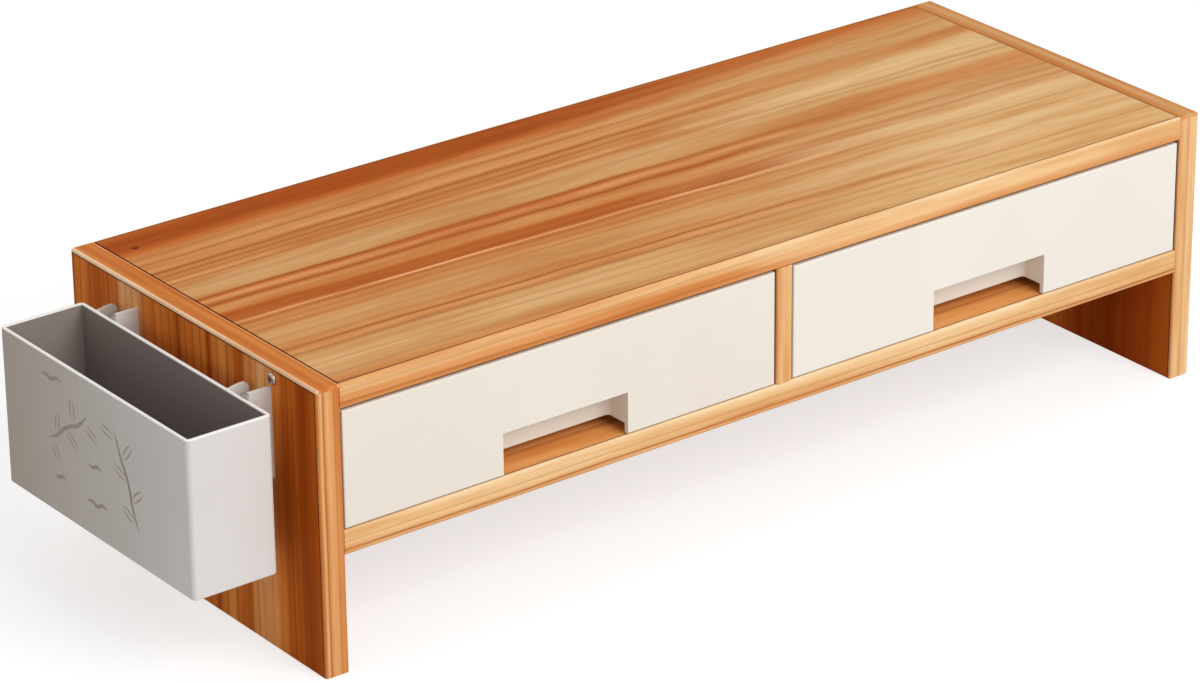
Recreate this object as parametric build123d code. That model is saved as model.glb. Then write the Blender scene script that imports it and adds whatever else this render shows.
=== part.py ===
from build123d import *
import os

# A desktop monitor stand in laminated wood board, with two moulded drawers under its top and a
# moulded storage bin that hangs on two hooks at its left side. Millimetres, X to the right, Y to
# the back and Z up. The pieces are drawn with X and Y measured from the stand's front left corner,
# and written with the origin under the middle of the whole object.

# The wooden stand
stand_width = 520
stand_depth = 200
stand_height = 140
board_thickness = 12
divider_thickness = 9
keyboard_clearance = 57.5
band_thickness = 1.5
outer_arris_radius = 1.2
joint_arris = 0.4

# The back panel, let into grooves
back_panel_thickness = 3
back_panel_inset = 5
groove_depth = 4
groove_play = 0.2

# Wooden dowels
dowel_diameter = 6
dowel_length = 30
dowel_skin = 3
dowel_play = 0.05
divider_dowel_length = 22
bore_end_space = 0.8

# Pan-head screws through the boards. At each end of the top a screw stands near the front and a
# dowel near the rear, and at each end of the shelf they change places
joint_setback = 34
divider_joint_setback = 50
screw_diameter = 4.5
screw_length = 45
divider_screw_length = 34
screw_head_diameter = 7.6
screw_head_height = 2
screw_play = 0.05

# The two drawers
drawer_gap_left = 0.7
drawer_gap_right = 1.5
drawer_gap_top = 1.2
drawer_front_lift = 0.7
seat_gap = 0.3
drawer_front_thickness = 2.6
drawer_front_arris = 0.8
drawer_wall = 2
drawer_floor_thickness = 2.2
drawer_floor_rise = 5.3
drawer_side_drop = 8
drawer_rim_height = 3
drawer_rim_projection = 0.8
drawer_corner_radius = 6
drawer_floor_radius = 3
drawer_draft = 1
runner_ribs = 2
runner_rib_thickness = 2
runner_rib_start = 45

# The finger pull in the lower edge of each drawer front
pull_width = 70
pull_top = 21.5
pull_depth = 14.7
pull_corner_radius = 2

# The storage bin
bin_length = 154
bin_width = 44
bin_height = 77
bin_wall = 2
bin_rim_drop = 13.5
bin_front_setback = 17
bin_standoff = 12
bin_corner_radius = 2.5
bin_rim_ease = 0.4
bin_foot_ease = 0.8
bin_floor_ease = 1.2

# The hook brackets on the left side panel, and the lugs on the bin's back that drop over them
hook_setback = 35.5
hook_pitch = 107.5
hook_width = 21.6
hook_plate = 1.8
hook_cheek_rise = 3
hook_rear_cheek_drop = 6
hook_bar_thickness = 2
hook_bar_ease = 0.6
hook_bar_drop = 4.2
hook_bar_height = 12
hook_base_height = 36
hook_gusset_foot = 4
hook_gusset_height = 12
hook_corner_radius = 2
hook_play = 0.3
lug_thickness = 2.2
lug_rise = 2.5
lug_nose_thickness = 2
lug_nose_length = 9.5
lug_nose_radius = 3.8
lug_leg_length = 28
locator_thickness = 2
locator_height = 20

# Pan-head screws that hold the hook brackets
hook_screw_diameter = 3.5
hook_screw_length = 11
hook_screw_head_diameter = 6.8
hook_screw_head_height = 1.8
hook_screw_edge = 15

# Room that a cut takes past a face
cut_margin = 1

# Levels and places that follow from the sizes above
top_underside = stand_height - board_thickness
shelf_underside = keyboard_clearance
shelf_top = shelf_underside + board_thickness
inside_left = board_thickness
inside_right = stand_width - board_thickness
middle_x = stand_width / 2
middle_y = stand_depth / 2
back_panel_rear = stand_depth - back_panel_inset
back_panel_front = back_panel_rear - back_panel_thickness
bay_width = (inside_right - inside_left - divider_thickness) / 2
bin_rim = stand_height - bin_rim_drop
origin_x = (stand_width + screw_head_height - bin_standoff - bin_width) / 2
origin_y = middle_y


def block(x0, x1, y0, y1, z0, z1):
    """A rectangular block between two corners."""
    return Pos(x0, y0, z0) * Box(x1 - x0, y1 - y0, z1 - z0, align=(Align.MIN, Align.MIN, Align.MIN))


def edges_at(piece, **places):
    """The edges whose middle lies at the given x, y or z."""
    chosen = piece.edges()
    for axis_letter, place in places.items():
        axis_name = axis_letter.upper()
        chosen = ShapeList(
            edge for edge in chosen if abs(getattr(edge.center(), axis_name) - place) < 0.001
        )
    return chosen


def prism_along_y(outline, y0, y1):
    """An outline of (x, z) points, made a solid from y0 to y1."""
    corners = [(x, y0, z) for x, z in outline]
    face = make_face(Polyline(*corners, close=True))
    return extrude(face, amount=y1 - y0, dir=(0, 1, 0))


def turned_profile(outline):
    """An outline of (x, radius) points, turned about the X axis."""
    corners = [(x, 0, radius) for x, radius in outline]
    return revolve(make_face(Polyline(*corners, close=True)), Axis.X)


def mirrored(piece):
    """The same piece on the other end of the stand."""
    return mirror(piece, about=Plane.YZ.offset(middle_x))


def divided(blank, cutter):
    """The parts of a banded board inside and outside the zone of one edge band."""
    return blank - cutter, blank & cutter


# Fasteners, each along X from the face or the joint where it goes in


def rod(radius, start, end):
    """A round rod or bore along X."""
    return turned_profile([(start, 0), (start, radius), (end, radius), (end, 0)])


def dowel(length):
    """A plain dowel."""
    return rod(dowel_diameter / 2, 0, length)


def dowel_hole(depth):
    """The bore for a dowel, with a little room at its end."""
    return rod(dowel_diameter / 2 + dowel_play, 0, depth + bore_end_space)


def pan_screw(diameter, length, head_diameter, head_height):
    """A screw whose pan head stands on the face that it goes in at."""
    return rod(head_diameter / 2, -head_height, 0) + rod(diameter / 2, 0, length)


def screw_hole(diameter, length):
    """The bore for a screw, open at the face."""
    return rod(diameter / 2 + screw_play, -cut_margin, length + bore_end_space)


def board_screw(length):
    """A screw that joins two boards."""
    return pan_screw(screw_diameter, length, screw_head_diameter, screw_head_height)


pointing_up = Rot(0, -90, 0)
panel_dowel_depth = board_thickness - dowel_skin
board_dowel_depth = dowel_length - panel_dowel_depth
divider_dowel_depth = divider_dowel_length - panel_dowel_depth

# Where the boards that span the stand are fastened: (y, z) on the side panels
top_centre_z = stand_height - board_thickness / 2
shelf_centre_z = shelf_underside + board_thickness / 2
front_joint_y = joint_setback
rear_joint_y = stand_depth - joint_setback
top_screw_place = (front_joint_y, top_centre_z)
top_dowel_place = (rear_joint_y, top_centre_z)
shelf_dowel_place = (front_joint_y, shelf_centre_z)
shelf_screw_place = (rear_joint_y, shelf_centre_z)


def end_dowels(place):
    """A dowel at each end of a board that spans the stand."""
    left = Pos(dowel_skin, *place) * dowel(dowel_length)
    return [left, mirrored(left)]


def end_screws(place):
    """A screw through each side panel into the end of a board."""
    left = Pos(0, *place) * board_screw(screw_length)
    return [left, mirrored(left)]


def end_holes(dowel_place, screw_place):
    """The bores in the left side panel and in the left end of the board that it meets."""
    joint = Pos(board_thickness, *dowel_place)
    return [
        joint * mirror(dowel_hole(panel_dowel_depth), about=Plane.YZ),
        joint * dowel_hole(board_dowel_depth),
        Pos(0, *screw_place) * screw_hole(screw_diameter, screw_length),
    ]


top_end_holes = end_holes(top_dowel_place, top_screw_place)
shelf_end_holes = end_holes(shelf_dowel_place, shelf_screw_place)

# The divider has dowels up into the top board, and screws up through the shelf in the same rows
divider_dowels = []
divider_dowel_bores = []
divider_screws = []
divider_screw_bores = []
for y in (divider_joint_setback, stand_depth - divider_joint_setback):
    dowel_foot = Pos(middle_x, y, top_underside - divider_dowel_depth) * pointing_up
    joint_plane = Pos(middle_x, y, top_underside) * pointing_up
    screw_foot = Pos(middle_x, y, shelf_underside) * pointing_up
    divider_dowels.append(dowel_foot * dowel(divider_dowel_length))
    divider_dowel_bores.append(joint_plane * dowel_hole(panel_dowel_depth))
    divider_dowel_bores.append(joint_plane * mirror(dowel_hole(divider_dowel_depth), about=Plane.YZ))
    divider_screws.append(screw_foot * board_screw(divider_screw_length))
    divider_screw_bores.append(screw_foot * screw_hole(screw_diameter, divider_screw_length))

# The panel behind the drawers and its grooves

back_panel = block(
    inside_left - groove_depth + groove_play,
    inside_right + groove_depth - groove_play,
    back_panel_front,
    back_panel_rear,
    shelf_top - groove_depth + groove_play,
    top_underside + groove_depth - groove_play,
)
back_groove = block(
    inside_left - groove_depth,
    inside_right + groove_depth,
    back_panel_front - groove_play,
    back_panel_rear + groove_play,
    shelf_top - groove_depth,
    top_underside + groove_depth,
)

# Side panels: each board is rounded with its bands on, then divided into board and bands


def side_panel_blank():
    """The left side panel and its edge bands as one rounded block."""
    blank = block(0, board_thickness, 0, stand_depth, 0, stand_height)
    rounded = (
        edges_at(blank, x=0, y=0)
        + edges_at(blank, x=0, y=stand_depth)
        + edges_at(blank, x=0, z=stand_height)
        + edges_at(blank, y=0, z=stand_height)
        + edges_at(blank, y=stand_depth, z=stand_height)
    )
    blank = fillet(rounded, outer_arris_radius)
    eased = edges_at(blank, x=board_thickness).filter_by(
        lambda edge: edge.center().Z > joint_arris and edge.geom_type == GeomType.LINE
    )
    return chamfer(eased, joint_arris)


def side_panel_pieces():
    """The left side panel's board, and its front, rear and top bands."""
    far = stand_width
    front_zone = block(-far, far, -far, band_thickness, -far, far)
    rear_zone = block(-far, far, stand_depth - band_thickness, far, -far, far)
    top_zone = block(-far, far, -far, far, stand_height - band_thickness, far)
    rest, front_band = divided(side_panel_blank(), front_zone)
    rest, rear_band = divided(rest, rear_zone)
    core, top_band = divided(rest, top_zone)
    for hole in top_end_holes + shelf_end_holes:
        core -= hole
    core -= back_groove
    return core, [front_band, rear_band, top_band]


side_core, side_bands = side_panel_pieces()


# Top board and drawer shelf


def spanning_board(underside):
    """A board between the side panels, rounded with its front and rear bands on."""
    top = underside + board_thickness
    blank = block(inside_left, inside_right, 0, stand_depth, underside, top)
    eased = edges_at(blank, x=inside_left, z=top) + edges_at(blank, x=inside_right, z=top)
    blank = chamfer(eased, joint_arris)
    rounded = ShapeList()
    for y in (0, stand_depth):
        rounded += edges_at(blank, y=y, z=top) + edges_at(blank, y=y, z=underside)
    return fillet(rounded, outer_arris_radius)


def spanning_board_pieces(underside, holes):
    """The board with its holes and groove, and its front and rear bands."""
    far = stand_width
    front_zone = block(-far, far, -far, band_thickness, -far, far)
    rear_zone = block(-far, far, stand_depth - band_thickness, far, -far, far)
    rest, front_band = divided(spanning_board(underside), front_zone)
    core, rear_band = divided(rest, rear_zone)
    for hole in holes:
        core -= hole
        core -= mirrored(hole)
    return core - back_groove, [front_band, rear_band]


top_core, top_bands = spanning_board_pieces(top_underside, top_end_holes + divider_dowel_bores)
shelf_core, shelf_bands = spanning_board_pieces(shelf_underside, shelf_end_holes + divider_screw_bores)


# Centre divider


def divider_pieces():
    """The divider between the drawers, and its front band."""
    left = middle_x - divider_thickness / 2
    right = middle_x + divider_thickness / 2
    blank = block(left, right, 0, back_panel_front, shelf_top, top_underside)
    blank = fillet(edges_at(blank, x=left, y=0) + edges_at(blank, x=right, y=0), outer_arris_radius)
    far = stand_width
    core, band = divided(blank, block(-far, far, -far, band_thickness, -far, far))
    for hole in divider_dowel_bores + divider_screw_bores:
        core -= hole
    return core, band


divider_core, divider_band = divider_pieces()


# Drawers: a moulded tray with a raised floor, a skirt that runs on the shelf, a rim, a deeper
# front, and a pull pocket that is open below


def drawer(bay_left):
    """One drawer, closed, in the bay that starts at this x."""
    width = bay_width - drawer_gap_left - drawer_gap_right
    length = back_panel_front - seat_gap
    skirt_foot = shelf_top + seat_gap
    floor_underside = shelf_top + drawer_floor_rise
    floor_top = floor_underside + drawer_floor_thickness
    front_foot = shelf_top + drawer_front_lift
    front_head = top_underside - drawer_gap_top
    rim_top = front_head - drawer_side_drop
    pull_left = (width - pull_width) / 2
    pull_right = pull_left + pull_width
    pull_roof = shelf_top + pull_top

    def footprint(inset, level):
        outline = Rectangle(width - 2 * inset, length - inset, align=(Align.MIN, Align.MIN))
        rear_corners = outline.vertices().group_by(Axis.Y)[-1]
        outline = fillet(rear_corners, drawer_corner_radius - inset)
        return Pos(inset, 0, level) * outline

    # Outer form: skirt, set-back wall and rim
    skirt = extrude(footprint(0, skirt_foot), floor_top - skirt_foot)
    wall = extrude(footprint(drawer_rim_projection, floor_top), rim_top - floor_top)
    rim = extrude(footprint(0, rim_top - drawer_rim_height), drawer_rim_height)
    front = block(0, width, 0, drawer_front_thickness, front_foot, front_head)
    front = fillet(edges_at(front, y=0), drawer_front_arris)
    front_clip = block(0, width, 0, drawer_front_thickness, skirt_foot, rim_top)
    tray = skirt + wall + rim - front_clip + front

    # Inside, drawn in towards the floor by the draft of the moulding
    inset = drawer_rim_projection + drawer_wall
    depth = rim_top - floor_top
    mouth = Rectangle(
        width - 2 * inset, length - inset - drawer_front_thickness, align=(Align.MIN, Align.MIN)
    )
    mouth = fillet(mouth.vertices(), drawer_corner_radius - drawer_rim_projection)
    hollow = extrude(
        Pos(inset, drawer_front_thickness, rim_top) * mouth, amount=depth, dir=(0, 0, -1), taper=drawer_draft
    )
    hollow = fillet(edges_at(hollow, z=floor_top), drawer_floor_radius)
    pocket = block(
        pull_left - drawer_wall,
        pull_right + drawer_wall,
        0,
        pull_depth + drawer_wall,
        skirt_foot,
        pull_roof + drawer_wall,
    )
    pocket_rear = edges_at(pocket, y=pull_depth + drawer_wall).filter_by(
        lambda edge: edge.center().Z > floor_top
    )
    pocket = fillet(pocket_rear, pull_corner_radius)
    tray -= hollow - pocket

    # Space under the floor, with two ribs that run on the shelf
    under_floor = block(
        drawer_wall,
        width - drawer_wall,
        drawer_front_thickness,
        length - drawer_wall,
        skirt_foot - cut_margin,
        floor_underside,
    )
    for count in range(1, runner_ribs + 1):
        rib_left = width * count / (runner_ribs + 1) - runner_rib_thickness / 2
        under_floor -= block(
            rib_left,
            rib_left + runner_rib_thickness,
            runner_rib_start,
            length,
            skirt_foot - cut_margin,
            floor_underside,
        )
    tray -= under_floor

    # The pull
    notch = block(pull_left, pull_right, -cut_margin, pull_depth, skirt_foot - cut_margin, pull_roof)
    notch = fillet(
        edges_at(notch, x=pull_left, y=pull_depth) + edges_at(notch, x=pull_right, y=pull_depth),
        pull_corner_radius,
    )
    tray -= notch
    return Pos(bay_left + drawer_gap_left, 0, 0) * tray


drawer_left = drawer(inside_left)
drawer_right = drawer(middle_x + divider_thickness / 2)


# Hook brackets. Their X is negative, outwards from the left side panel's face


cheek_top = bin_rim + hook_cheek_rise
rear_cheek_top = bin_rim - hook_rear_cheek_drop
bar_top = bin_rim - hook_bar_drop
base_top = rear_cheek_top
base_foot = base_top - hook_base_height
cheek_reach = bin_standoff - hook_play
nose_inner = hook_plate + hook_play
nose_outer = nose_inner + lug_nose_thickness
bar_inner = nose_outer + hook_play
bar_outer = bar_inner + hook_bar_thickness
hook_fronts = [hook_setback, hook_setback + hook_pitch]


def hook_screw_seat(hook_front):
    """The place of the screw in the middle of one bracket's base, on the base's face."""
    return Pos(-hook_plate, hook_front + hook_width / 2, base_foot + hook_screw_edge)


def hook_bracket(hook_front):
    """A bracket: a base on the panel, two cheeks and the bar that the bin's lug drops over."""
    hook_rear = hook_front + hook_width
    base = block(-hook_plate, 0, hook_front, hook_rear, base_foot, base_top)
    lower_corners = edges_at(base, y=hook_front, z=base_foot) + edges_at(base, y=hook_rear, z=base_foot)
    base = fillet(lower_corners, hook_corner_radius)

    def cheek(y0, top):
        foot = base_foot + hook_gusset_foot
        outline = [(0, foot), (-cheek_reach, foot + hook_gusset_height), (-cheek_reach, top), (0, top)]
        return prism_along_y(outline, y0, y0 + hook_plate)

    bar = block(-bar_outer, -bar_inner, hook_front, hook_rear, bar_top - hook_bar_height, bar_top)
    bar = chamfer(edges_at(bar, x=-bar_outer, z=bar_top), hook_bar_ease)
    rear_cheek_clip = block(
        -bin_standoff, 0, hook_rear - hook_plate, hook_rear, rear_cheek_top, bar_top + cut_margin
    )
    bracket = base + cheek(hook_front, cheek_top) + cheek(hook_rear - hook_plate, rear_cheek_top)
    bracket += bar - rear_cheek_clip
    return bracket - hook_screw_seat(hook_front) * screw_hole(hook_screw_diameter, hook_screw_length)


hook_front_piece = hook_bracket(hook_fronts[0])
hook_rear_piece = hook_bracket(hook_fronts[1])
hook_screw = pan_screw(
    hook_screw_diameter, hook_screw_length, hook_screw_head_diameter, hook_screw_head_height
)
hook_screws = []
left_core = side_core
for hook_front in hook_fronts:
    seat = hook_screw_seat(hook_front)
    hook_screws.append(seat * hook_screw)
    left_core -= seat * screw_hole(hook_screw_diameter, hook_screw_length)


# Storage bin


def bin_lug(hook_front):
    """The lug on the bin's back that drops over one bracket's bar."""
    root = bin_standoff + bin_wall / 2
    lug_rear = hook_front + hook_width - hook_plate - hook_play
    lug_top = bin_rim + lug_rise
    slot_outer = bar_outer + hook_play
    slot_roof = bar_top + seat_gap
    leg_foot = lug_top - lug_leg_length
    outline = [
        (-root, lug_top),
        (-nose_inner, lug_top),
        (-nose_inner, lug_top - lug_rise - lug_nose_length),
        (-nose_outer, lug_top - lug_rise - lug_nose_length),
        (-nose_outer, slot_roof),
        (-slot_outer, slot_roof),
        (-slot_outer, slot_roof - hook_bar_height),
        (-bin_standoff, leg_foot),
        (-root, leg_foot),
    ]
    lug = prism_along_y(outline, lug_rear - lug_thickness, lug_rear)
    return fillet(edges_at(lug, x=-nose_inner, z=lug_top), lug_nose_radius)


def bin_locator(hook_front):
    """The rib on the bin's back that stands against the other cheek, so the bin can't slide."""
    root = bin_standoff + bin_wall / 2
    rib_front = hook_front + hook_plate + hook_play
    slot_outer = bar_outer + hook_play
    rib_top = bar_top - hook_play
    rib_foot = rib_top - locator_height
    outline = [
        (-root, rib_top),
        (-slot_outer, rib_top),
        (-slot_outer, rib_foot + hook_gusset_height),
        (-bin_standoff, rib_foot),
        (-root, rib_foot),
    ]
    return prism_along_y(outline, rib_front, rib_front + locator_thickness)


def storage_bin():
    """The open bin, its lugs and its locating ribs."""
    left = -bin_standoff - bin_width
    right = -bin_standoff
    front = bin_front_setback
    rear = bin_front_setback + bin_length
    foot = bin_rim - bin_height
    shell = block(left, right, front, rear, foot, bin_rim)
    shell = fillet(shell.edges().filter_by(Axis.Z), bin_corner_radius)
    shell = chamfer(edges_at(shell, z=foot), bin_foot_ease)
    floor_top = foot + bin_wall
    hollow_x = (left + bin_wall, right - bin_wall)
    hollow = block(*hollow_x, front + bin_wall, rear - bin_wall, floor_top, bin_rim + cut_margin)
    hollow = fillet(hollow.edges().filter_by(Axis.Z), bin_corner_radius)
    hollow = chamfer(edges_at(hollow, z=floor_top), bin_floor_ease)
    shell -= hollow
    shell = chamfer(edges_at(shell, z=bin_rim), bin_rim_ease)
    for hook_front in hook_fronts:
        shell += bin_lug(hook_front) + bin_locator(hook_front)
    return shell


# The nodes

pieces = {
    "side_panel_left": [left_core],
    "side_panel_left_edge_bands": side_bands,
    "side_panel_right": [mirrored(side_core)],
    "side_panel_right_edge_bands": [mirrored(band) for band in side_bands],
    "top_board": [top_core],
    "top_board_edge_bands": top_bands,
    "drawer_shelf": [shelf_core],
    "drawer_shelf_edge_bands": shelf_bands,
    "centre_divider": [divider_core],
    "centre_divider_edge_band": [divider_band],
    "back_panel": [back_panel],
    "top_board_dowels": end_dowels(top_dowel_place),
    "top_board_screws": end_screws(top_screw_place),
    "shelf_dowels": end_dowels(shelf_dowel_place),
    "shelf_screws": end_screws(shelf_screw_place),
    "divider_dowels": divider_dowels,
    "divider_screws": divider_screws,
    "drawer_left": [drawer_left],
    "drawer_right": [drawer_right],
    "storage_bin": [storage_bin()],
    "bin_hook_front": [hook_front_piece],
    "bin_hook_rear": [hook_rear_piece],
    "bin_hook_screws": hook_screws,
}

os.makedirs("parts", exist_ok=True)
for node, members in pieces.items():
    solids = []
    for member in members:
        solids.extend((Pos(-origin_x, -origin_y, 0) * member).solids())
    whole = solids[0] if len(solids) == 1 else Compound(children=solids)
    export_step(whole, f"parts/{node}.step")
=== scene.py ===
import math

import bmesh
import bpy
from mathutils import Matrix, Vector


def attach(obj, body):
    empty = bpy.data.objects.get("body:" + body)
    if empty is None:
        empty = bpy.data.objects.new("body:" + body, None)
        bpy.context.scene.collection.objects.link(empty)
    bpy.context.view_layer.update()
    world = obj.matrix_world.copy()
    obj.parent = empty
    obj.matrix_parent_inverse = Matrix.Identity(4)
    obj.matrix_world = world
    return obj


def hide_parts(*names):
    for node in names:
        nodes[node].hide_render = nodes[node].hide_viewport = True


# A desktop monitor stand in wood-print laminated board, with two cream moulded drawers and a grey
# moulded bin hung on its left side. Lengths are in millimetres from the stand's front left foot,
# and MM and ROW_ORIGIN turn them into the frame's metres.

MM = 0.001
ROW_ORIGIN = Vector((233, 100, 0))

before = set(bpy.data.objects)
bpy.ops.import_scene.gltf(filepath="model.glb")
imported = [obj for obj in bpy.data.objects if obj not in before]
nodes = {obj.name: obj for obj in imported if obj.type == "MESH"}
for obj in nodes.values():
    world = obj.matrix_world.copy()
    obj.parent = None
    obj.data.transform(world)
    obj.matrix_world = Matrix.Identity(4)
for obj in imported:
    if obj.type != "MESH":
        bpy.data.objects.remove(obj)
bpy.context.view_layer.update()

STAND_WIDTH = 520
STAND_DEPTH = 200
STAND_HEIGHT = 140
BOARD = 12
BAND = 1.5
DIVIDER = 9
SHELF_FOOT = 57.5
TOP_FOOT = STAND_HEIGHT - BOARD


def place(x, y, z):
    """A point in the frame, from millimetres measured at the stand's front left foot."""
    return (Vector((x, y, z)) - ROW_ORIGIN) * MM


# Camera: fitted to the stand's corners in the photo, in metres and degrees

CAMERA_PLACE = (-1.28944, -1.69938, 1.02828)
CAMERA_TURN = (65.6438, 0.5256, -37.3303)
CAMERA_LENS = 147.474
SENSOR_WIDTH = 36

camera_data = bpy.data.cameras.new("photo_camera")
camera_data.lens = CAMERA_LENS
camera_data.sensor_width = SENSOR_WIDTH
camera = bpy.data.objects.new("photo_camera", camera_data)
camera.location = CAMERA_PLACE
camera.rotation_euler = [math.radians(angle) for angle in CAMERA_TURN]
bpy.context.scene.collection.objects.link(camera)
bpy.context.scene.camera = camera
bpy.context.scene.view_settings.view_transform = "Standard"


# Nodes and colours


def linear(hex_colour):
    """A colour written as sRGB hex, in linear light."""
    parts = [int(hex_colour[i : i + 2], 16) / 255 for i in (1, 3, 5)]
    return [p / 12.92 if p <= 0.04045 else ((p + 0.055) / 1.055) ** 2.4 for p in parts] + [1]


def add_node(tree, kind, inputs=None, stops=None, **settings):
    """A node with its settings, its ramp's stops, and a value or another node's output at each input.

    A mix node's inputs are 0 for the factor, 2 and 3 for values, and 6 and 7 for colours. Its output
    is 0 for a value and 2 for a colour.
    """
    node = tree.nodes.new(kind)
    for name, value in settings.items():
        setattr(node, name, value)
    for socket, value in (inputs or {}).items():
        if isinstance(value, bpy.types.NodeSocket):
            tree.links.new(value, node.inputs[socket])
        else:
            node.inputs[socket].default_value = value
    if stops:
        elements = node.color_ramp.elements
        while len(elements) < len(stops):
            elements.new(1)
        for element, (position, colour) in zip(elements, sorted(stops)):
            element.position = position
            element.color = colour
    return node


def new_material(name):
    """An empty material, its node tree and its shader."""
    material = bpy.data.materials.new(name)
    material.use_nodes = True
    tree = material.node_tree
    tree.nodes.clear()
    shader = add_node(tree, "ShaderNodeBsdfPrincipled")
    add_node(tree, "ShaderNodeOutputMaterial", {"Surface": shader.outputs["BSDF"]})
    return material, tree, shader


# Light: a large softbox at the front, and an even pale room that the camera sees as white

KEY_DIRECTION = Vector((0.1, -0.79, 0.6))
KEY_DISTANCE = 2.5
KEY_POWER = 38
KEY_SIZE = 1.5
ROOM_LIGHT = 0.6

key_data = bpy.data.lights.new("key_softbox", "AREA")
key_data.energy = KEY_POWER
key_data.size = KEY_SIZE
key = bpy.data.objects.new("key_softbox", key_data)
key.location = KEY_DIRECTION.normalized() * KEY_DISTANCE
key.rotation_euler = KEY_DIRECTION.to_track_quat("Z", "Y").to_euler()
bpy.context.scene.collection.objects.link(key)

world = bpy.data.worlds.new("pale_room")
world.use_nodes = True
room = world.node_tree
room.nodes.clear()
room_path = add_node(room, "ShaderNodeLightPath")
room_seen = add_node(
    room,
    "ShaderNodeMath",
    {0: room_path.outputs["Is Camera Ray"], 1: room_path.outputs["Is Glossy Ray"]},
    operation="MAXIMUM",
)
room_seen = add_node(
    room,
    "ShaderNodeMath",
    {0: room_seen.outputs[0], 1: room_path.outputs["Is Transmission Ray"]},
    operation="MAXIMUM",
)
room_strength = add_node(
    room, "ShaderNodeMapRange", {"Value": room_seen.outputs[0], "To Min": ROOM_LIGHT, "To Max": 1.0}
)
room_colour = add_node(
    room, "ShaderNodeBackground", {"Color": linear("#FFFFFF"), "Strength": room_strength.outputs[0]}
)
add_node(room, "ShaderNodeOutputWorld", {"Surface": room_colour.outputs[0]})
bpy.context.scene.world = world

# Floor: a matt pale one in the light that it throws back, seen as white with the object's shadow

FLOOR_SIZE = 12
FLOOR_SHADE = 0.45
FLOOR_GLOW = 0.66

floor_finish, tree, shader = new_material("pale_floor")
shader.inputs["Base Color"].default_value = linear("#CBCBCB")
shader.inputs["Roughness"].default_value = 0.9
shader.inputs["Specular IOR Level"].default_value = 0.0
seen_floor = add_node(
    tree, "ShaderNodeBsdfDiffuse", {"Color": (FLOOR_SHADE, FLOOR_SHADE, FLOOR_SHADE, 1)}
)
floor_glow = add_node(
    tree, "ShaderNodeEmission", {"Color": linear("#FFFFFF"), "Strength": FLOOR_GLOW}
)
seen_floor = add_node(
    tree, "ShaderNodeAddShader", {0: seen_floor.outputs[0], 1: floor_glow.outputs[0]}
)
floor_path = add_node(tree, "ShaderNodeLightPath")
floor_seen = add_node(
    tree,
    "ShaderNodeMath",
    {0: floor_path.outputs["Is Camera Ray"], 1: floor_path.outputs["Is Glossy Ray"]},
    operation="MAXIMUM",
)
floor_mix = add_node(
    tree,
    "ShaderNodeMixShader",
    {0: floor_seen.outputs[0], 1: shader.outputs[0], 2: seen_floor.outputs[0]},
)
floor_output = tree.nodes["Material Output"]
tree.links.new(floor_mix.outputs[0], floor_output.inputs["Surface"])

bpy.ops.object.select_all(action="DESELECT")
bpy.ops.mesh.primitive_plane_add(size=FLOOR_SIZE)
floor = bpy.context.object
floor.name = "floor"
floor.data.materials.append(floor_finish)


# Wood-print laminate: melamine paper with a warm straight-grained print, pressed on chipboard with a
# satin plate. It gives bold red-brown bands and thin dark lines with light ones beside them on a
# golden ground, fine streaks along the grain and almost no shine

TONES = {
    "peach": "#FDBC89",
    "cream": "#EAC692",
    "light": "#E2B67E",
    "honey": "#D8A66F",
    "tan": "#D59357",
    "amber": "#CF884A",
    "orange": "#C86E2C",
    "rust": "#BC672C",
    "russet": "#AF5314",
    "panel light": "#FFBC7F",
    "panel gold": "#F8A153",
    "panel orange": "#EA8839",
    "panel russet": "#CB6920",
    "panel umber": "#AE5016",
    "panel deep": "#94400F",
    "shelf gold": "#F1AD68",
    "shelf tan": "#E79E59",
    # The lightest edge and cap tones serve as painted highlights on the bands' arrises
    "edge highlight": "#F2D6AC",
    "edge gold": "#ECC38F",
    "edge tan": "#E4AD76",
    "edge amber": "#DD9A5F",
    "edge orange": "#D0884E",
    "cap highlight": "#FFDCB8",
    "cap amber": "#DB8B46",
    "cap orange": "#CC7838",
}
DARK_LINE = "#94460A"
GLUE_LINE = "#4A1C08"

# Length and width of the slow wander and the quick ripple of the grain
WANDER_SIZE = (260.0, 90.0, 1.0)
RIPPLE_SIZE = (60.0, 30.0, 1.0)
# Length and width of the print's year rings, lines and pores, the tint that each adds, and the
# noise at which the tint is full and gone. Real pores are 0.2 mm wide, and are drawn 0.6 mm wide
# so that they show
STREAK_SIZES = ((110.0, 8.0, 1.0), (55.0, 2.6, 1.0), (12.0, 0.6, 1.0))
STREAK_TINTS = ("#F1E0CD", "#FAF2EA", "#FBF6F2")
STREAK_FROM, STREAK_TO = 0.34, 0.55
# Where a drawn line fades, and the least that is left of it
BREAK_FROM, BREAK_TO, BREAK_LEAST = 0.36, 0.56, 0.5
# Between these distances from the front, the grain turns from opening to closing
FAN_FRONT, FAN_REAR = 85.0, 160.0
# How far the edge of the fade wavers along the grain
FADE_WAVER = 130.0
# The share of a knot that is darkest, and how much of the dark shows in a knot and a glue line
KNOT_CORE, KNOT_STRENGTH = 0.4, 0.9
GLUE_STRENGTH = 0.85
LAMINATE_GLOSS = (0.42, 0.58)
LAMINATE_SHEEN = 0.02
LAMINATE_RELIEF = 0.06 * MM


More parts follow.
